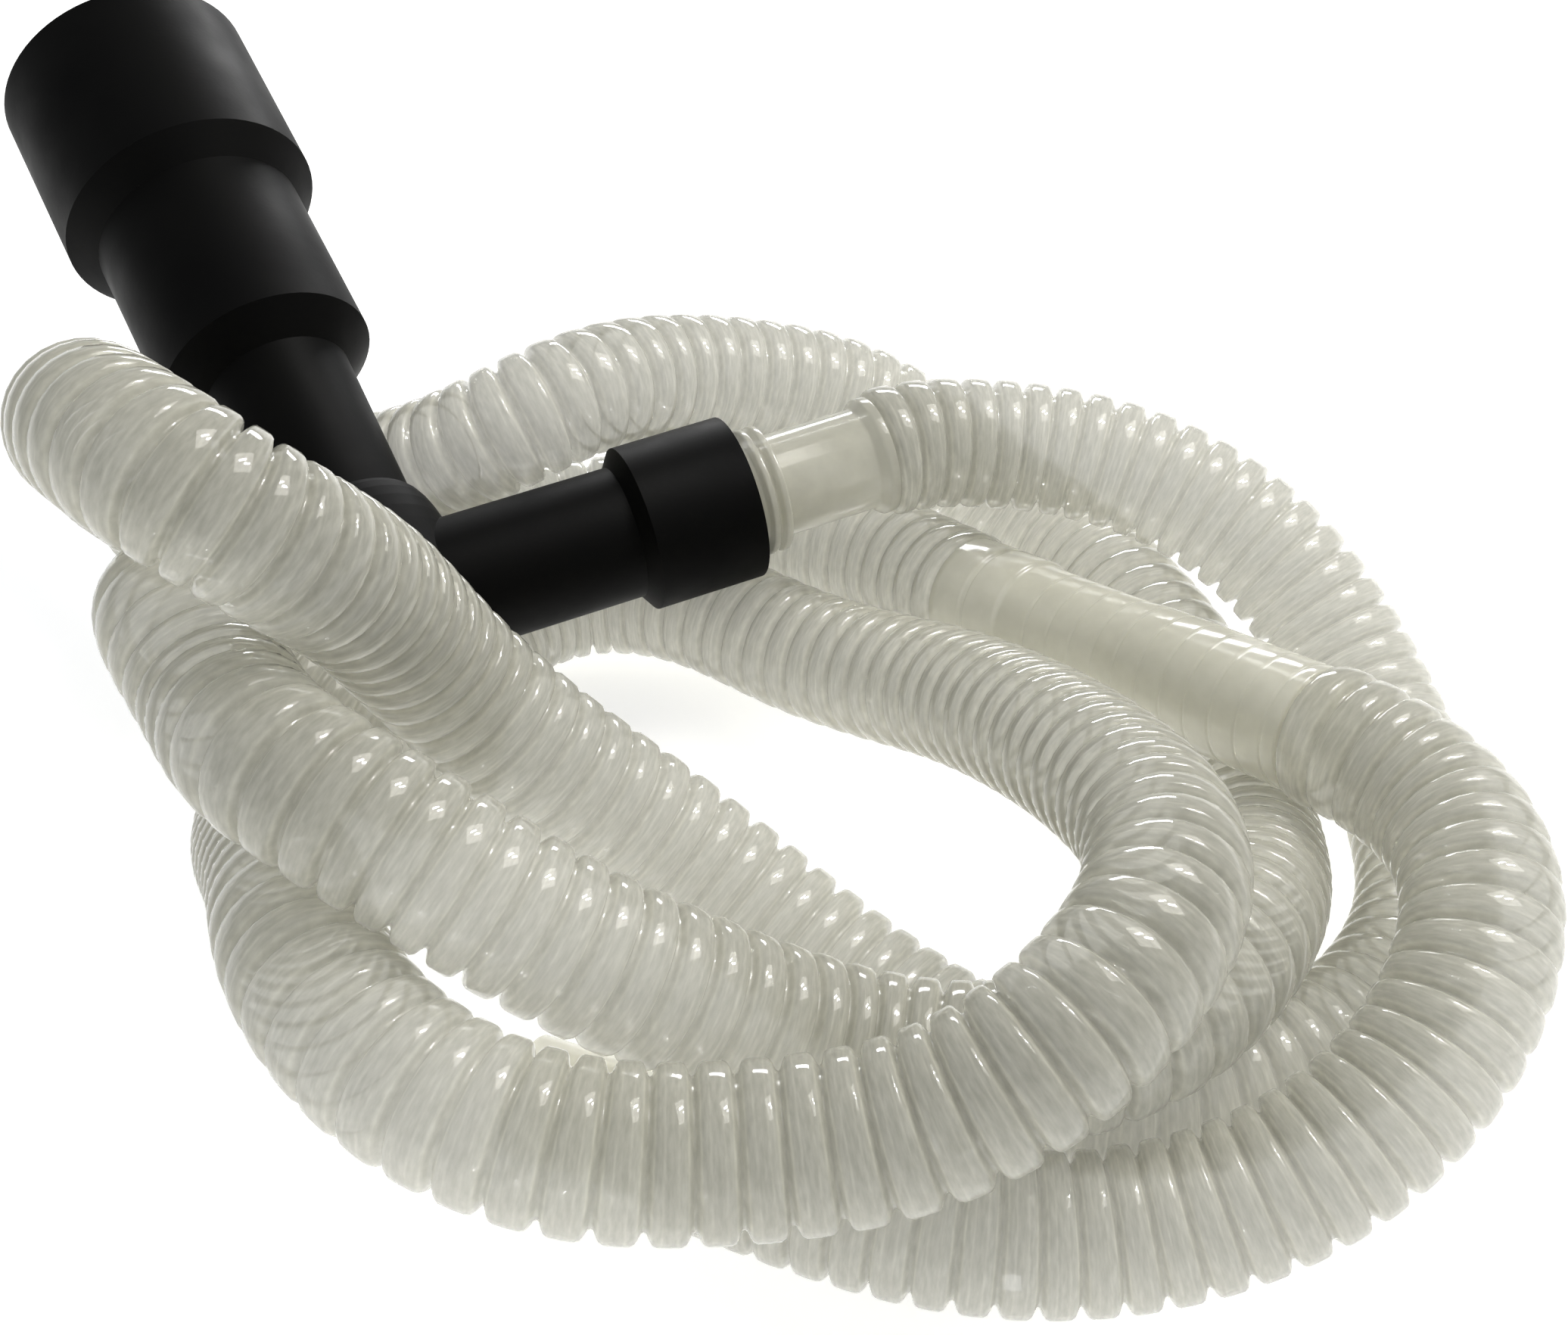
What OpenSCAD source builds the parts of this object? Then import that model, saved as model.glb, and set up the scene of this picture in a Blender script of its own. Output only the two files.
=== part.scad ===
// Corrugated hose, coiled on a flat surface, with a stepped rubber elbow on its inlet end.
// Millimetres, +Z up, Z = 0 is the surface that the coil lies on.

/* [Hose] */
// Outer diameter of the corrugated hose
hose_od = 24; // [23:0.25:24.5]
// Outer diameter of the smooth cuffs at the two ends
cuff_od = 19; // [18:0.25:20]
// Wall thickness of the cuffs
cuff_wall = 1.5; // [1:0.25:2]
// Outer diameter of the two flange rings by the elbow
flange_od = 23.5; // [22:0.25:26]
// Thickness of one flange ring
flange_t = 1.2; // [1:0.1:1.4]
// Length of cuff pushed into the elbow's socket
spigot_length = 18; // [14:1:20]
// Length of the inlet cuff outside the socket
neck_length = 28; // [26:1:32]
// Outer diameter of the middle cuff
middle_od = 21; // [20:0.25:21.5]
// Outer diameter of the two raised bands on the middle cuff
band_od = 22.5; // [22:0.25:24]
// Length of the outlet cuff
outlet_length = 25; // [20:1:28]

/* [Elbow] */
// Outer diameter of the large cup
cup_od = 48.5; // [47.5:0.25:50]
// Inner diameter of the large cup
cup_bore = 40; // [38:0.5:42]
// Length of the large cup
cup_length = 36; // [30:1:42]
// Outer diameter of the second step
step_od = 39.5; // [38.5:0.25:40]
// Inner diameter of the second step
step_bore = 32; // [30:0.5:33]
// Length of the second step
step_length = 35; // [30:1:40]
// Diameter of the neck where it meets the second step
neck_od_wide = 27.5; // [27:0.25:28]
// Diameter of the neck where it meets the body
neck_od_narrow = 25.5; // [25:0.25:26.5]
// Length of the neck
neck_run = 33; // [31:1:35]
// Outer diameter of the body at the bend
body_od = 31.5; // [30.5:0.25:32]
// Outer diameter of the barrel behind the socket
barrel_od = 24; // [23:0.25:25]
// Outer diameter of the socket
socket_od = 30; // [29:0.25:31]
// Length of the socket
socket_length = 20; // [20:0.5:22]
// Distance from the bend to the socket's mouth
socket_reach = 66; // [64:0.5:67]
// Angle between the socket and the cup arm
bend_angle = 94.5; // [93:0.5:96]

/* [Fit] */
// Radial clearance of the cuff in the socket, tight enough to turn by hand
turn_clearance = 0.05; // [0.02:0.01:0.1]

/* [Hidden] */

hose_r = hose_od / 2;
cuff_r = cuff_od / 2;
cuff_bore_r = cuff_r - cuff_wall;
middle_r = middle_od / 2;
passage_r = 9;
heel_depth = 14;
cone_length = 5;
band_length = 8;
band_gap = 1;
flange_seat = 2.5;
flange_pitch = 2.4;
end_lip = 2;
stop_gap = 0.5;
fine = 64;
tube_sides = 12;

// Middle of the coil's bounding box, moved to X = 0, Y = 0
coil_centre = [-22.8, 25.4];

// Where the elbow's bend lies over the coil, and the height of a hose's underside there
elbow_place = [-77, 30, 29];
bend_point = [elbow_place[0] - coil_centre[0], elbow_place[1] - coil_centre[1], elbow_place[2] + hose_r];
socket_azimuth = 23.25;
socket_elevation = 3.9;
arm_roll = 20.6;
socket_axis = [
    cos(socket_elevation) * cos(socket_azimuth),
    cos(socket_elevation) * sin(socket_azimuth),
    sin(socket_elevation)
];

shoulder_end = 18;
neck_end = shoulder_end + neck_run;
step_start = neck_end + cone_length;
step_end = step_start + step_length;
cup_start = step_end + cone_length;
cup_end = cup_start + cup_length;
socket_start = socket_reach - socket_length;
hose_start = socket_reach + neck_length;
spigot_end = socket_reach - spigot_length;

// Route of the hose: X, Y and the height of its underside
run_1_points = [
    [34, 72, 34], [62, 66, 30], [84, 52, 20], [97, 32, 7],
    [102, 8, 0], [98, -18, 0], [84, -39, 0], [62, -52, 0], [38, -54, 0],
    [16, -43, 0], [-6, -28, 6], [-26, -18, 18], [-46, -15, 35], [-61, -15, 54],
    [-68, -22, 72], [-76, -30, 87], [-89, -29, 97], [-103, -15, 96], [-110, 3, 83],
    [-113, 21, 64], [-115, 39, 45], [-117, 55, 28], [-110, 70, 19], [-97, 77, 20],
    [-82, 78, 24], [-67, 75, 32], [-51, 80, 38], [-32, 94, 35], [-12, 102, 29],
    [6, 105, 22], [26, 102, 10], [44, 92, 1], [58, 70, 0], [68, 42, 0],
    [72, 12, 0], [69, -16, 10], [59, -43, 22], [44, -60, 24], [24, -66, 22],
    [4, -64, 22], [-16, -64, 31], [-38, -63, 44], [-60, -57, 57], [-79, -46, 63],
    [-89, -30, 60], [-98, -15, 61], [-101, -1, 52], [-95, 5, 38], [-84, 2, 29],
    [-74, 4, 18], [-70, 15, 4], [-71, 30, 0], [-69, 46, 0], [-61, 62, 0],
    [-47, 70, 0], [-29, 67, 1], [-6, 50, 3], [19, 26, 13], [33, 1, 26], [43, -26, 38], [45, -55, 47],
    [34, -75, 46], [12, -86, 36], [-13, -89, 32], [-39, -89, 34], [-60, -80, 38],
    [-74, -62, 38], [-82, -40, 30], [-93, -12, 12], [-98, 12, 1], [-98, 36, 0],
    [-92, 57, 0], [-83, 77, 0], [-65, 91, 0], [-40, 97, 0], [-12, 92, 0], [12, 80, 2]
];
middle_start = [28, 61, 7];
middle_end = [79, -2, 28];
run_2_points = [
    [94, -21, 29], [95, -45, 28], [85, -63, 20], [66, -75, 9],
    [42, -79, 1], [16, -78, 0], [-8, -70, 0]
];
outlet_start = [-24, -63, 0];
outlet_direction = [-0.93, 0.37, 0];

function unit(v) = v / norm(v);

// Centre line point over an underside point, in the part's frame
function centre(p) = [p[0] - coil_centre[0], p[1] - coil_centre[1], p[2] + hose_r];

inlet_end = bend_point + hose_start * socket_axis;
middle_from = centre(middle_start);
middle_to = centre(middle_end);
middle_length = norm(middle_to - middle_from);
middle_axis = unit(middle_to - middle_from);
outlet_from = centre(outlet_start);
outlet_axis = unit(outlet_direction);

run_1 = concat([inlet_end], [for (p = run_1_points) centre(p)], [middle_from]);
run_2 = concat([middle_to], [for (p = run_2_points) centre(p)], [outlet_from]);

// Direction of a route at one of its points
function heading(route, i, first, last) =
    i == 0 ? first
    : i == len(route) - 1 ? last
    : unit(unit(route[i + 1] - route[i]) + unit(route[i] - route[i - 1]));

// One ring of points round the route, with a point at its underside
function ring(p, t, r) =
    let (side = unit(cross(t, [0, 0, 1])), up = cross(side, t))
    [for (k = [0 : tube_sides - 1])
        p + r * (cos(360 * k / tube_sides) * side + sin(360 * k / tube_sides) * up)];

// Solid tube swept along a route, with square ends
module swept_tube(route, first, last, r) {
    n = len(route);
    m = tube_sides;
    rings = [for (i = [0 : n - 1]) ring(route[i], heading(route, i, first, last), r)];
    sides = [for (i = [0 : n - 2], k = [0 : m - 1])
        let (a = i * m + k, b = i * m + (k + 1) % m)
        each [[a, b, b + m], [a, b + m, a + m]]];
    start_cap = [[for (k = [m - 1 : -1 : 0]) k]];
    end_cap = [[for (k = [0 : m - 1]) (n - 1) * m + k]];
    polyhedron(points = [for (one = rings) each one], faces = concat(start_cap, sides, end_cap));
}

// Places a child that is modelled along +Z so that it points along a direction
module pointed(at, direction) {
    translate(at)
        rotate([0, acos(direction[2]), atan2(direction[1], direction[0])])
            children();
}

// A turned ring or pipe between two heights
module pipe(from, to, outer_r, inner_r) {
    translate([0, 0, from])
        rotate_extrude($fn = fine)
            translate([inner_r, 0])
                square([outer_r - inner_r, to - from]);
}

// Frame of the elbow: socket along +X, cup arm in the XY plane
module elbow_frame() {
    translate(bend_point)
        rotate([0, 0, socket_azimuth])
            rotate([0, -socket_elevation, 0])
                rotate([arm_roll, 0, 0])
                    children();
}

module along_socket() {
    rotate([0, 90, 0]) children();
}

module along_cup_arm() {
    rotate([0, 0, bend_angle]) rotate([0, 90, 0]) children();
}

// Outer profile of the cup arm, from the bend to the cup's rim
module cup_arm_profile() {
    body_r = body_od / 2;
    straight = 7;
    arc_steps = 6;
    heel = [for (k = [arc_steps : -1 : 1])
        let (a = 90 * k / arc_steps)
        [body_r * cos(a), -heel_depth * sin(a)]];
    shoulder = [for (k = [1 : arc_steps - 1])
        let (a = 90 * k / arc_steps)
        [neck_od_narrow / 2 + (body_r - neck_od_narrow / 2) * cos(a),
         straight + (shoulder_end - straight) * sin(a)]];
    polygon(concat(
        heel,
        [[body_r, 0], [body_r, straight]],
        shoulder,
        [
            [neck_od_narrow / 2, shoulder_end],
            [neck_od_wide / 2, neck_end],
            [step_od / 2, step_start],
            [step_od / 2, step_end],
            [cup_od / 2, cup_start],
            [cup_od / 2, cup_end],
            [0, cup_end]
        ]
    ));
}

module rubber_elbow() {
    bore_r = cuff_r + turn_clearance;
    chamfer = 2;
    color("#161616")
    elbow_frame()
    difference() {
        union() {
            along_cup_arm() rotate_extrude($fn = fine) cup_arm_profile();
            along_socket() {
                cylinder(d = barrel_od, h = socket_reach - 1, $fn = fine);
                translate([0, 0, socket_start - chamfer])
                    cylinder(d1 = barrel_od, d2 = socket_od, h = chamfer, $fn = fine);
                translate([0, 0, socket_start])
                    cylinder(d = socket_od, h = socket_length, $fn = fine);
            }
        }
        along_cup_arm() {
            translate([0, 0, -passage_r])
                cylinder(r = passage_r, h = passage_r + step_start + 1, $fn = fine);
            translate([0, 0, step_start])
                cylinder(d = step_bore, h = step_length + cone_length, $fn = fine);
            translate([0, 0, cup_start])
                cylinder(d = cup_bore, h = cup_length + 1, $fn = fine);
        }
        along_socket() {
            cylinder(r = passage_r - 1, h = socket_reach, $fn = fine);
            translate([0, 0, spigot_end - stop_gap])
                cylinder(r = bore_r, h = spigot_length + stop_gap + 1, $fn = fine);
        }
    }
}

module inlet_cuff() {
    color("#e6e6dc")
    pointed(bend_point, socket_axis) {
        pipe(spigot_end, hose_start, cuff_r, cuff_bore_r);
        for (i = [0 : 1])
            pipe(socket_reach + flange_seat + i * flange_pitch,
                 socket_reach + flange_seat + i * flange_pitch + flange_t,
                 flange_od / 2, cuff_r - cuff_wall / 2);
        pipe(hose_start - end_lip, hose_start, hose_r - 1, cuff_r - cuff_wall / 2);
    }
}

module hose_run_1() {
    color("#dcdcd4")
    swept_tube(run_1, socket_axis, middle_axis, hose_r);
}

module middle_cuff() {
    color("#e2e2d6")
    pointed(middle_from, middle_axis) {
        pipe(0, middle_length, middle_r, middle_r - cuff_wall);
        for (i = [0 : 1])
            pipe(i * (band_length + band_gap), i * (band_length + band_gap) + band_length,
                 band_od / 2, middle_r - cuff_wall / 2);
        pipe(middle_length - end_lip, middle_length, hose_r - 1, middle_r - cuff_wall / 2);
    }
}

module hose_run_2() {
    color("#dcdcd4")
    swept_tube(run_2, middle_axis, outlet_axis, hose_r);
}

module outlet_cuff() {
    color("#e6e6dc")
    pointed(outlet_from, outlet_axis) {
        pipe(0, outlet_length, cuff_r, cuff_bore_r);
        pipe(0, end_lip, hose_r - 1, cuff_r - cuff_wall / 2);
    }
}

rubber_elbow();
inlet_cuff();
hose_run_1();
middle_cuff();
hose_run_2();
outlet_cuff();
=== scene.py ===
import math

import bpy
import numpy as np
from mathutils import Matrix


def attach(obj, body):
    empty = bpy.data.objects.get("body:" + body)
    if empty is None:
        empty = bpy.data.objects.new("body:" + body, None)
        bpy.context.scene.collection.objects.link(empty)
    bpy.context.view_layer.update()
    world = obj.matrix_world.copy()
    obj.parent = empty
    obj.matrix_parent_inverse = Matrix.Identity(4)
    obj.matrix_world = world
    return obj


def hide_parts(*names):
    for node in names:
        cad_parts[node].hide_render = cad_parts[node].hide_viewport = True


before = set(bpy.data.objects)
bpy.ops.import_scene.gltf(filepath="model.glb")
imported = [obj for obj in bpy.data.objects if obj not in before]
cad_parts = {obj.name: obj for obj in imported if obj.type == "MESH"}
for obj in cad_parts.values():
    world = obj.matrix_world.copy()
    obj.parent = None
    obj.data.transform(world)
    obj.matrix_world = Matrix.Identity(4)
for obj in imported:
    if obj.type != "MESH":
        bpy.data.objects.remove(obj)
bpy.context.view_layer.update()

MM = 0.001

# The hose: its outer radius as in the part's source, and its rings, in metres
HOSE_R = 12 * MM
GROOVE_DEPTH = 2.0 * MM
MEAN_PITCH = 5.7 * MM

# Steps along one ring, as (place in the pitch, share of the groove's depth)
RING_PROFILE = [
    (-0.50, 1.00), (-0.45, 0.88), (-0.39, 0.45), (-0.33, 0.16), (-0.24, 0.02),
    (0.0, 0.0), (0.24, 0.02), (0.33, 0.16), (0.39, 0.45), (0.45, 0.88),
]

# How finely the routes, the hose and the turned pieces are divided
STEP = 0.5 * MM
STEPS_PER_CHORD = 60
HOSE_SIDES = 30
LATHE_SIDES = 72
CORNER_STEPS = 5

# Placing of the coil and of the elbow, as in the part's source
COIL_CENTRE = np.array([-22.8, 25.4, 0.0]) * MM
BEND_POINT = np.array([-77.0, 30.0, 29.0]) * MM - COIL_CENTRE + np.array([0, 0, HOSE_R])
SOCKET_AZIMUTH = math.radians(23.25)
SOCKET_ELEVATION = math.radians(3.9)
SOCKET_REACH = 66 * MM
NECK_LENGTH = 28 * MM
SPIGOT_LENGTH = 18 * MM
OUTLET_LENGTH = 25 * MM

# The cuffs: radii, in millimetres, and the most of an edge that its rounding takes
CUFF_R = 9.5
BORE_R = 8
MIDDLE_R = 10.5
MIDDLE_BORE_R = 9
LIP_R = 11
BAND_R = 11.25
FLANGE_R = 11.75
EDGE_ROUNDING = 0.4
SHARE_OF_EDGE = 0.45

# The cuffs: lengths along them, in millimetres. A profile's two ends meet in the bore, at its seam
BORE_SEAM = 1
LIP_LENGTH = 1.8
LIP_SLOPE = 1.7
OUTLET_LIP_LENGTH = 2
OUTLET_LIP_SLOPE = 1.5
FLANGE_1 = 68.5
FLANGE_PITCH = 2.4
FLANGE_WIDTH = 1.5
FLANGE_NEAR_SLOPE = 0.1
FLANGE_FAR_SLOPE = 0.2

# The middle cuff's two bands, and the groove between them, in millimetres
BAND_1_END = 7.8
BAND_2_START = 9.2
BAND_2_END = 16.9
BAND_SLOPE = 0.5
GAP_SLOPE = 0.4
GAP_DEPTH = 0.7

# The middle cuff's shallow rings, and how much wider it is over its far half, in millimetres
RINGS_START = 20
RINGS_STOP_SHORT = 3
SHALLOW_PITCH = 5.6
SHALLOW_DEPTH = 0.2
SHALLOW_HALF_WIDTH = 0.4
FAR_HALF_WIDER = 0.4

# The route of the hose: X, Y and the height of its underside, in millimetres
RUN_1_POINTS = [
    [34, 72, 34], [62, 66, 30], [84, 52, 20], [97, 32, 7],
    [102, 8, 0], [98, -18, 0], [84, -39, 0], [62, -52, 0], [38, -54, 0],
    [16, -43, 0], [-6, -28, 6], [-26, -18, 18], [-46, -15, 35], [-61, -15, 54],
    [-68, -22, 72], [-76, -30, 87], [-89, -29, 97], [-103, -15, 96], [-110, 3, 83],
    [-113, 21, 64], [-115, 39, 45], [-117, 55, 28], [-110, 70, 19], [-97, 77, 20],
    [-82, 78, 24], [-67, 75, 32], [-51, 80, 38], [-32, 94, 35], [-12, 102, 29],
    [6, 105, 22], [26, 102, 10], [44, 92, 1], [58, 70, 0], [68, 42, 0],
    [72, 12, 0], [69, -16, 10], [59, -43, 22], [44, -60, 24], [24, -66, 22],
    [4, -64, 22], [-16, -64, 31], [-38, -63, 44], [-60, -57, 57], [-79, -46, 63],
    [-89, -30, 60], [-98, -15, 61], [-101, -1, 52], [-95, 5, 38], [-84, 2, 29],
    [-74, 4, 18], [-70, 15, 4], [-71, 30, 0], [-69, 46, 0], [-61, 62, 0],
    [-47, 70, 0], [-29, 67, 1], [-6, 50, 3], [19, 26, 13], [33, 1, 26], [43, -26, 38],
    [45, -55, 47], [34, -75, 46], [12, -86, 36], [-13, -89, 32], [-39, -89, 34], [-60, -80, 38],
    [-74, -62, 38], [-82, -40, 30], [-93, -12, 12], [-98, 12, 1], [-98, 36, 0],
    [-92, 57, 0], [-83, 77, 0], [-65, 91, 0], [-40, 97, 0], [-12, 92, 0], [12, 80, 2],
]
MIDDLE_START = [28, 61, 7]
MIDDLE_END = [79, -2, 28]
RUN_2_POINTS = [
    [94, -21, 29], [95, -45, 28], [85, -63, 20], [66, -75, 9],
    [42, -79, 1], [16, -78, 0], [-8, -70, 0],
]
OUTLET_START = [-24, -63, 0]
OUTLET_DIRECTION = [-0.93, 0.37, 0]

# How far apart the rings are: place along the run and pitch, in millimetres
RUN_1_PITCHES = [
    (0, 5.4), (250, 5.5), (320, 6.1), (350, 5.6), (390, 4.7), (470, 4.7), (520, 5.5), (620, 5.6),
    (950, 5.7), (1200, 5.4), (1400, 5.6), (1470, 6.1), (1650, 6.0), (1850, 5.4),
]
RUN_2_PITCHES = [(0, 5.4), (200, 5.6)]


# ---------------------------------------------------------------- camera

def make_camera():
    """A camera at the photograph's distance, looking down at 40 degrees."""
    place = np.array([-0.008, -0.268, 0.277])
    down = math.radians(40)
    data = bpy.data.cameras.new("view")
    data.sensor_width = 36
    data.lens = 50.2
    data.clip_start = 0.01
    obj = bpy.data.objects.new("view", data)
    bpy.context.collection.objects.link(obj)
    obj.location = place - COIL_CENTRE
    obj.rotation_euler = (math.pi / 2 - down, 0, 0)
    bpy.context.scene.camera = obj


# ---------------------------------------------------------------- routes

def unit(v):
    """The vector at length 1."""
    v = np.asarray(v, float)
    return v / np.linalg.norm(v)


def centre(point):
    """The centre line point over an underside point, in metres."""
    return np.array(point, float) * MM - COIL_CENTRE + np.array([0, 0, HOSE_R])


def spline_tangents(points, chords, first, last):
    """Tangents that make a cubic through the points bend smoothly."""
    count = len(points)
    matrix = np.zeros((count, count))
    targets = np.zeros((count, 3))
    matrix[0, 0] = 1
    matrix[-1, -1] = 1
    targets[0] = first
    targets[-1] = last
    for i in range(1, count - 1):
        a = 1 / chords[i - 1]
        b = 1 / chords[i]
        matrix[i, i - 1:i + 2] = (a, 2 * (a + b), b)
        targets[i] = 3 * ((points[i] - points[i - 1]) * a * a + (points[i + 1] - points[i]) * b * b)
    return np.linalg.solve(matrix, targets)


def smooth_route(points, first, last):
    """The smooth centre line through the points, at an even step."""
    points = np.array(points)
    chords = np.linalg.norm(np.diff(points, axis=0), axis=1)
    tangents = spline_tangents(points, chords, unit(first), unit(last))
    fine = []
    for i, chord in enumerate(chords):
        t = np.linspace(0, 1, STEPS_PER_CHORD, endpoint=False)[:, None]
        fine.append(
            (2 * t**3 - 3 * t**2 + 1) * points[i] + (t**3 - 2 * t**2 + t) * chord * tangents[i]
            + (3 * t**2 - 2 * t**3) * points[i + 1] + (t**3 - t**2) * chord * tangents[i + 1])
    fine = np.vstack(fine + [points[-1:]])
    along = np.concatenate([[0], np.cumsum(np.linalg.norm(np.diff(fine, axis=0), axis=1))])
    count = int(round(along[-1] / STEP)) + 1
    even = np.linspace(0, along[-1], count)
    return sample(fine, along, even)


def sample(table, along, where):
    """The table's rows, given at the distances along, read at other distances."""
    return np.stack([np.interp(where, along, table[:, k]) for k in range(3)], axis=1)


def route_length(route):
    return float(np.linalg.norm(np.diff(route, axis=0), axis=1).sum())


def route_axes(route, first, last):
    """Sideways and upward unit vectors across the route, at each of its points."""
    along = np.gradient(route, axis=0)
    along /= np.linalg.norm(along, axis=1)[:, None]
    along[0] = unit(first)
    along[-1] = unit(last)
    side = np.cross(along, (0, 0, 1))
    side /= np.linalg.norm(side, axis=1)[:, None]
    return side, np.cross(side, along)


# ---------------------------------------------------------------- meshes

def new_object(name, vertices, faces, smooth=True):
    mesh = bpy.data.meshes.new(name)
    mesh.from_pydata([tuple(v) for v in vertices], [], faces)
    mesh.update()
    if smooth:
        mesh.polygons.foreach_set("use_smooth", [True] * len(mesh.polygons))
    obj = bpy.data.objects.new(name, mesh)
    bpy.context.collection.objects.link(obj)
    return obj


def grid_faces(rows, sides):
    """Quads between successive rings of vertices."""
    faces = []
    for row in range(rows - 1):
        for k in range(sides):
            a = row * sides + k
            b = row * sides + (k + 1) % sides
            faces.append((a, a + sides, b + sides, b))
    return faces


def ring_starts(length, pitches):
    """Where each ring starts: the pitch varies smoothly, and the last ring ends at the end."""
    starts = [0.0]
    places = [place * MM for place, _ in pitches]
    values = [pitch * MM for _, pitch in pitches]
    while starts[-1] < length:
        starts.append(starts[-1] + float(np.interp(starts[-1], places, values)))
    starts = np.array(starts)
    return starts * length / starts[-1]


def corrugated_hose(name, route, first, last, pitches):
    """A ringed tube swept along the route."""
    length = route_length(route)
    starts = ring_starts(length, pitches)
    steps = [
        (start + (0.5 + place) * (end - start), depth)
        for start, end in zip(starts[:-1], starts[1:]) for place, depth in RING_PROFILE]
    steps.append((length, 1.0))
    where = np.array([distance for distance, _ in steps]) / length * (len(route) - 1)
    radius = HOSE_R - GROOVE_DEPTH * np.array([depth for _, depth in steps])
    index = np.arange(len(route))
    middle, across, above = (
        sample(table, index, where) for table in (route, *route_axes(route, first, last)))
    angle = np.arange(HOSE_SIDES) / HOSE_SIDES * 2 * math.pi
    spoke = (np.cos(angle)[None, :, None] * across[:, None, :]
             + np.sin(angle)[None, :, None] * above[:, None, :])
    vertices = (middle[:, None, :] + radius[:, None, None] * spoke).reshape(-1, 3)
    obj = new_object(name, vertices, grid_faces(len(steps), HOSE_SIDES))
    phases = [i + 0.5 + place for i in range(len(starts) - 1) for place, _ in RING_PROFILE]
    add_grain(obj, np.array(phases + [len(starts) - 1]), angle)
    return obj


def add_grain(obj, phases, angle):
    """Coordinates in which the hose is straight and each ring has the same pitch."""
    grain = np.empty((len(phases), len(angle), 3))
    grain[:, :, 0] = phases[:, None] * MEAN_PITCH
    grain[:, :, 1] = HOSE_R * np.cos(angle)
    grain[:, :, 2] = HOSE_R * np.sin(angle)
    table = obj.data.attributes.new("grain", "FLOAT_VECTOR", "POINT")
    table.data.foreach_set("vector", grain.ravel())


def frame_along(direction):
    """Three unit vectors, the last along the direction."""
    w = unit(direction)
    u = unit(np.cross(w, (0, 0, 1)))
    return u, np.cross(w, u), w


def rounded(corners):
    """A profile's points with each of its corners rounded off, in millimetres."""
    corners = np.array(corners, float)
    points = [corners[0]]
    for before, corner, after in zip(corners, corners[1:], corners[2:]):
        back = before - corner
        ahead = after - corner
        shorter = min(np.linalg.norm(back), np.linalg.norm(ahead))
        reach = min(EDGE_ROUNDING, SHARE_OF_EDGE * shorter)
        start = corner + reach * unit(back)
        end = corner + reach * unit(ahead)
        for t in np.linspace(0, 1, CORNER_STEPS):
            points.append((1 - t)**2 * start + 2 * t * (1 - t) * corner + t**2 * end)
    points.append(corners[-1])
    return points


def lathe(name, corners, at, direction):
    """A turned piece: corners holds (height along the direction, radius), in millimetres."""
    u, v, w = frame_along(direction)
    profile = np.array(rounded(corners)) * MM
    angle = np.arange(LATHE_SIDES) / LATHE_SIDES * 2 * math.pi
    spoke = np.cos(angle)[:, None] * u + np.sin(angle)[:, None] * v
    height, away = profile[:, 0], profile[:, 1]
    vertices = at + height[:, None, None] * w + away[:, None, None] * spoke[None, :, :]
    faces = grid_faces(len(profile), LATHE_SIDES)
    last = (len(profile) - 1) * LATHE_SIDES
    for k in range(LATHE_SIDES):
        n = (k + 1) % LATHE_SIDES
        faces.append((last + k, k, n, last + n))
    return new_object(name, vertices.reshape(-1, 3), faces)


# ---------------------------------------------------------------- materials

def new_material(name):
    """A material, its node tree and its shader."""
    material = bpy.data.materials.new(name)
    material.use_nodes = True
    tree = material.node_tree
    return material, tree, tree.nodes["Principled BSDF"]


def add_noise(tree, scale, detail=3.0):
    coords = tree.nodes.new("ShaderNodeTexCoord")
    noise = tree.nodes.new("ShaderNodeTexNoise")
    noise.inputs["Scale"].default_value = scale
    noise.inputs["Detail"].default_value = detail
    tree.links.new(coords.outputs["Object"], noise.inputs["Vector"])
    return noise


def add_streaks(tree, along, around):
    """Noise that runs round the hose, finer along it than around it."""
    grain = tree.nodes.new("ShaderNodeAttribute")
    grain.attribute_name = "grain"
    mapping = tree.nodes.new("ShaderNodeMapping")
    mapping.inputs["Scale"].default_value = (along, around, around)
    noise = tree.nodes.new("ShaderNodeTexNoise")
    noise.inputs["Scale"].default_value = 1.0
    noise.inputs["Detail"].default_value = 4.0
    tree.links.new(grain.outputs["Vector"], mapping.inputs["Vector"])
    tree.links.new(mapping.outputs["Vector"], noise.inputs["Vector"])
    return noise


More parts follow.
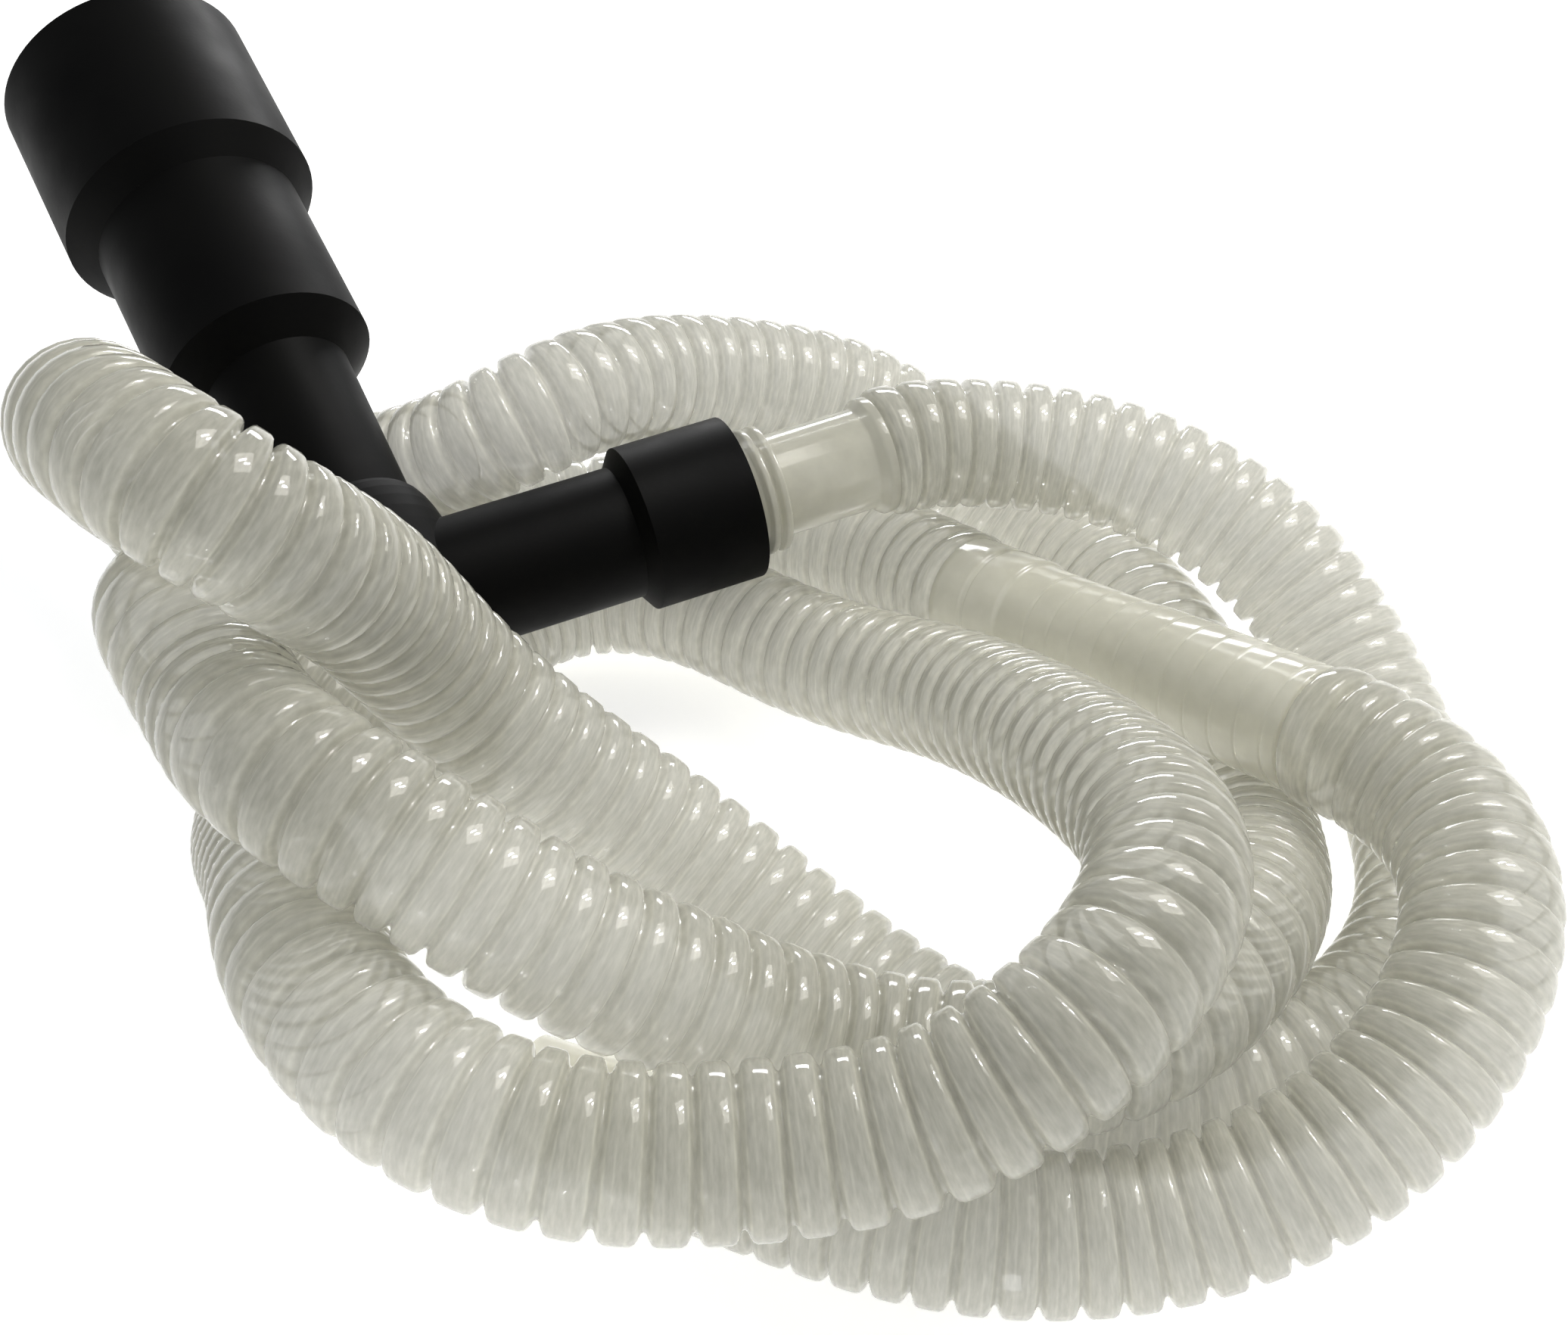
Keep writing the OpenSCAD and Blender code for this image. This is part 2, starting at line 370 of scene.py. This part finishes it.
def add_painted_ring_light(tree):
    """Painted light round each ring: a pale band on each groove wall and a fainter one near each crown
    edge, painted highlight lines that also lighten the grooves against their shade.
    """
    grain = tree.nodes.new("ShaderNodeAttribute")
    grain.attribute_name = "grain"
    split = tree.nodes.new("ShaderNodeSeparateXYZ")
    count = tree.nodes.new("ShaderNodeMath")
    count.operation = "DIVIDE"
    count.inputs[1].default_value = MEAN_PITCH
    phase = tree.nodes.new("ShaderNodeMath")
    phase.operation = "FRACT"
    painted_ring_light = tree.nodes.new("ShaderNodeValToRGB")
    # Shades from the groove (0) to the crown (0.5): the 1.25 and 1.12 peaks are painted highlights, and
    # the grooves stay at least as light as the crown, painted light against their shade
    groove_to_crown = [
        (0.00, 1.00), (0.08, 0.98), (0.13, 1.25), (0.18, 0.98),
        (0.30, 1.00), (0.345, 1.12), (0.39, 0.98), (0.50, 0.97),
    ]
    crown_to_groove = [(1 - position, shade) for position, shade in reversed(groove_to_crown[:-1])]
    stops = groove_to_crown + crown_to_groove
    for position, _ in stops[1:-1]:
        painted_ring_light.color_ramp.elements.new(position)
    for element, (_, shade) in zip(painted_ring_light.color_ramp.elements, stops):
        element.color = (shade, shade, shade, 1)
    tree.links.new(grain.outputs["Vector"], split.inputs["Vector"])
    tree.links.new(split.outputs["X"], count.inputs[0])
    tree.links.new(count.outputs["Value"], phase.inputs[0])
    tree.links.new(phase.outputs["Value"], painted_ring_light.inputs["Fac"])
    return painted_ring_light


def multiply(tree, one, other):
    """The product of two colours."""
    product = tree.nodes.new("ShaderNodeVectorMath")
    product.operation = "MULTIPLY"
    tree.links.new(one.outputs["Color"], product.inputs[0])
    tree.links.new(other.outputs["Color"], product.inputs[1])
    return product.outputs["Vector"]


def add_bump(tree, shader, noise, strength, distance):
    bump = tree.nodes.new("ShaderNodeBump")
    bump.inputs["Strength"].default_value = strength
    bump.inputs["Distance"].default_value = distance
    tree.links.new(noise.outputs["Fac"], bump.inputs["Height"])
    tree.links.new(bump.outputs["Normal"], shader.inputs["Normal"])


def add_ramp(tree, source, low, high):
    """A blend from one colour to the other over the middle of the noise's range."""
    ramp = tree.nodes.new("ShaderNodeValToRGB")
    ramp.color_ramp.elements[0].position = 0.3
    ramp.color_ramp.elements[0].color = low
    ramp.color_ramp.elements[1].position = 0.7
    ramp.color_ramp.elements[1].color = high
    tree.links.new(source.outputs["Fac"], ramp.inputs["Fac"])
    return ramp


def set_plastic(shader, roughness, transmission, alpha, coat_roughness):
    """A thin translucent wall under a clear glossy skin."""
    shader.inputs["Roughness"].default_value = roughness
    shader.inputs["IOR"].default_value = 1.1
    shader.inputs["Transmission Weight"].default_value = transmission
    shader.inputs["Alpha"].default_value = alpha
    shader.inputs["Coat Weight"].default_value = 1.0
    shader.inputs["Coat Roughness"].default_value = coat_roughness


def hose_material():
    """Milky polyethylene: light passes through the thin wall and scatters."""
    material, tree, shader = new_material("milky_hose")
    streaks = add_streaks(tree, 1800, 350)
    ramp = add_ramp(tree, streaks, (0.53, 0.522, 0.458, 1), (0.70, 0.692, 0.618, 1))
    # Base colour: the streak grain times painted highlight bands round each ring, which also lighten the
    # grooves against their shade
    tree.links.new(multiply(tree, ramp, add_painted_ring_light(tree)), shader.inputs["Base Color"])
    add_bump(tree, shader, add_streaks(tree, 1500, 1000), 0.25, 0.15 * MM)
    set_plastic(shader, roughness=0.8, transmission=0.3, alpha=0.75, coat_roughness=0.05)
    return material


def cuff_material(name, low, high):
    """The same polyethylene where it is smooth, warmer and a little clearer."""
    material, tree, shader = new_material(name)
    noise = add_noise(tree, 300)
    ramp = add_ramp(tree, noise, low, high)
    tree.links.new(ramp.outputs["Color"], shader.inputs["Base Color"])
    add_bump(tree, shader, noise, 0.1, 0.2 * MM)
    set_plastic(shader, roughness=0.7, transmission=0.35, alpha=0.7, coat_roughness=0.12)
    return material


def rubber_material():
    """Black rubber: satin, with a dusty bloom and a fine grain."""
    material, tree, shader = new_material("black_rubber")
    bloom = add_noise(tree, 45, 6.0)
    ramp = add_ramp(tree, bloom, (0.0006, 0.0006, 0.0006, 1), (0.003, 0.003, 0.0026, 1))
    tree.links.new(ramp.outputs["Color"], shader.inputs["Base Color"])
    sheen = tree.nodes.new("ShaderNodeMapRange")
    sheen.inputs["From Min"].default_value = 0.3
    sheen.inputs["From Max"].default_value = 0.7
    sheen.inputs["To Min"].default_value = 0.62
    sheen.inputs["To Max"].default_value = 0.42
    tree.links.new(bloom.outputs["Fac"], sheen.inputs["Value"])
    tree.links.new(sheen.outputs["Result"], shader.inputs["Roughness"])
    add_bump(tree, shader, add_noise(tree, 1200), 0.15, 0.1 * MM)
    shader.inputs["Specular IOR Level"].default_value = 0.06
    return material


def floor_material():
    """A white floor, bright enough to leave only a faint shadow."""
    material, tree, shader = new_material("floor")
    shader.inputs["Base Color"].default_value = (0.95, 0.95, 0.95, 1)
    shader.inputs["Roughness"].default_value = 0.9
    shader.inputs["Specular IOR Level"].default_value = 0.1
    shader.inputs["Emission Color"].default_value = (1, 1, 1, 1)
    shader.inputs["Emission Strength"].default_value = 0.62
    return material


def dress(obj, material):
    """Give the object this material alone."""
    obj.data.materials.clear()
    obj.data.materials.append(material)


# ---------------------------------------------------------------- the hose

def socket_direction():
    """The direction in which the hose leaves the elbow."""
    flat = math.cos(SOCKET_ELEVATION)
    return np.array([
        flat * math.cos(SOCKET_AZIMUTH), flat * math.sin(SOCKET_AZIMUTH), math.sin(SOCKET_ELEVATION)])


def inlet_corners():
    """Bore, end lip, smooth neck and two flange rings, measured from the elbow's bend."""
    start = (SOCKET_REACH - SPIGOT_LENGTH) / MM
    end = (SOCKET_REACH + NECK_LENGTH) / MM
    lip = end - LIP_LENGTH
    corners = [(start + BORE_SEAM, BORE_R), (end, BORE_R), (end, LIP_R), (lip, LIP_R)]
    corners += [(lip - LIP_SLOPE, CUFF_R)]
    for foot in (FLANGE_1 + FLANGE_PITCH, FLANGE_1):
        head = foot + FLANGE_WIDTH
        corners += [(head, CUFF_R), (head - FLANGE_FAR_SLOPE, FLANGE_R)]
        corners += [(foot + FLANGE_NEAR_SLOPE, FLANGE_R), (foot, CUFF_R)]
    return corners + [(start, CUFF_R), (start, BORE_R)]


def middle_corners(length):
    """Bore, end lip, a wider and a narrower stretch with shallow rings, and two bands."""
    corners = [(BORE_SEAM, MIDDLE_BORE_R), (length, MIDDLE_BORE_R)]
    corners += [(length, LIP_R), (length - LIP_LENGTH, LIP_R)]
    height = length - RINGS_STOP_SHORT
    while height > RINGS_START:
        radius = MIDDLE_R + (FAR_HALF_WIDER if height > length / 2 else 0)
        corners += [
            (height + SHALLOW_HALF_WIDTH, radius), (height, radius - SHALLOW_DEPTH),
            (height - SHALLOW_HALF_WIDTH, radius)]
        height -= SHALLOW_PITCH
    gap_r = BAND_R - GAP_DEPTH
    corners += [(BAND_2_END + BAND_SLOPE, MIDDLE_R), (BAND_2_END, BAND_R), (BAND_2_START, BAND_R)]
    corners += [(BAND_2_START - GAP_SLOPE, gap_r), (BAND_1_END + GAP_SLOPE, gap_r), (BAND_1_END, BAND_R)]
    return corners + [(0, BAND_R), (0, MIDDLE_BORE_R)]


def outlet_corners():
    """Bore and a smooth pipe with a lip where it meets the hose."""
    end = OUTLET_LENGTH / MM
    pipe_start = OUTLET_LIP_LENGTH + OUTLET_LIP_SLOPE
    corners = [(BORE_SEAM, BORE_R), (end, BORE_R), (end, CUFF_R), (pipe_start, CUFF_R)]
    return corners + [(OUTLET_LIP_LENGTH, LIP_R), (0, LIP_R), (0, BORE_R)]


def make_cuff(name, node, corners, at, axis, material):
    """A turned cuff that takes the place of the CAD one."""
    obj = lathe(name, corners, at, axis)
    dress(obj, material)
    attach(obj, "hose")
    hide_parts(node)
    return obj


def make_run(name, node, route, first, last, pitches, material):
    """A run of ringed hose that takes the place of the CAD one."""
    obj = corrugated_hose(name, route, first, last, pitches)
    dress(obj, material)
    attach(obj, "hose")
    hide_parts(node)
    return obj


def make_hose():
    """The hose from the elbow's socket to its far end: two runs and three cuffs."""
    plastic = hose_material()
    clear = cuff_material("clear_cuff", (0.80, 0.79, 0.70, 1), (0.87, 0.86, 0.77, 1))
    # The inlet cuff gets a darker copy of the same cuff colours: painted shade that tones down the light
    # it catches facing up
    inlet_painted_shade = cuff_material("painted_shade_cuff", (0.68, 0.67, 0.59, 1), (0.76, 0.75, 0.66, 1))

    axis = socket_direction()
    inlet_end = BEND_POINT + (SOCKET_REACH + NECK_LENGTH) * axis
    middle_from = centre(MIDDLE_START)
    middle_to = centre(MIDDLE_END)
    middle_axis = unit(middle_to - middle_from)
    middle_length = float(np.linalg.norm(middle_to - middle_from)) / MM
    outlet_from = centre(OUTLET_START)
    outlet_axis = unit(OUTLET_DIRECTION)

    points_1 = [inlet_end] + [centre(p) for p in RUN_1_POINTS] + [middle_from]
    points_2 = [middle_to] + [centre(p) for p in RUN_2_POINTS] + [outlet_from]
    route_1 = smooth_route(points_1, axis, middle_axis)
    route_2 = smooth_route(points_2, middle_axis, outlet_axis)
    hose_1 = make_run("ringed_hose_1", "hose_run_1", route_1, axis, middle_axis, RUN_1_PITCHES, plastic)
    hose_2 = make_run(
        "ringed_hose_2", "hose_run_2", route_2, middle_axis, outlet_axis, RUN_2_PITCHES, plastic)

    corners = middle_corners(middle_length)
    inlet = make_cuff("cuff_inlet", "inlet_cuff", inlet_corners(), BEND_POINT, axis, inlet_painted_shade)
    middle = make_cuff("cuff_middle", "middle_cuff", corners, middle_from, middle_axis, clear)
    outlet = make_cuff("cuff_outlet", "outlet_cuff", outlet_corners(), outlet_from, outlet_axis, clear)


def make_elbow():
    """The elbow is the CAD solid, dressed in rubber."""
    dress(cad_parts["rubber_elbow"], rubber_material())


# ---------------------------------------------------------------- the set

def make_floor():
    half = 3.0
    corners = [(-half, -half, 0), (half, -half, 0), (half, half, 0), (-half, half, 0)]
    floor = new_object("floor", corners, [(0, 1, 2, 3)], smooth=False)
    dress(floor, floor_material())


def add_area_light(name, place, aim, size, power, colour=(1, 1, 1), gloss_only=False):
    """A lit panel that faces its aim; a gloss_only one shows in reflections alone."""
    data = bpy.data.lights.new(name, "AREA")
    data.shape = "RECTANGLE"
    data.size, data.size_y = size
    data.energy = power
    data.color = colour
    obj = bpy.data.objects.new(name, data)
    bpy.context.collection.objects.link(obj)
    obj.location = place
    obj.visible_diffuse = not gloss_only
    obj.visible_transmission = not gloss_only
    direction = np.asarray(aim, float) - np.asarray(place, float)
    w = unit(direction)
    obj.rotation_euler = (math.acos(-w[2]), 0, math.atan2(w[1], w[0]) - math.pi / 2)


def make_world():
    world = bpy.data.worlds.new("studio")
    world.use_nodes = True
    background = world.node_tree.nodes["Background"]
    background.inputs["Color"].default_value = (0.96, 0.98, 1.0, 1)
    background.inputs["Strength"].default_value = 0.45
    bpy.context.scene.world = world


def make_lights():
    """A warm key panel, two narrow panes for the highlights and a window behind."""
    coil = (0, 0, 0.03)
    pane = (0.04, 0.16)
    add_area_light("key", (0.45, 0.20, 0.80), coil, (0.50, 0.50), 4.8, colour=(1.0, 0.97, 0.90))
    add_area_light("pane_1", (0.36, 0.22, 0.78), coil, pane, 3.5, gloss_only=True)
    add_area_light("pane_2", (0.50, 0.18, 0.72), coil, pane, 3.5, gloss_only=True)
    add_area_light("window", (0.05, 1.00, 0.30), (0.05, 0, 0.05), (0.50, 0.15), 5.0, gloss_only=True)


make_camera()
make_hose()
make_elbow()
make_floor()
make_world()
make_lights()
bpy.context.scene.view_settings.view_transform = "Standard"
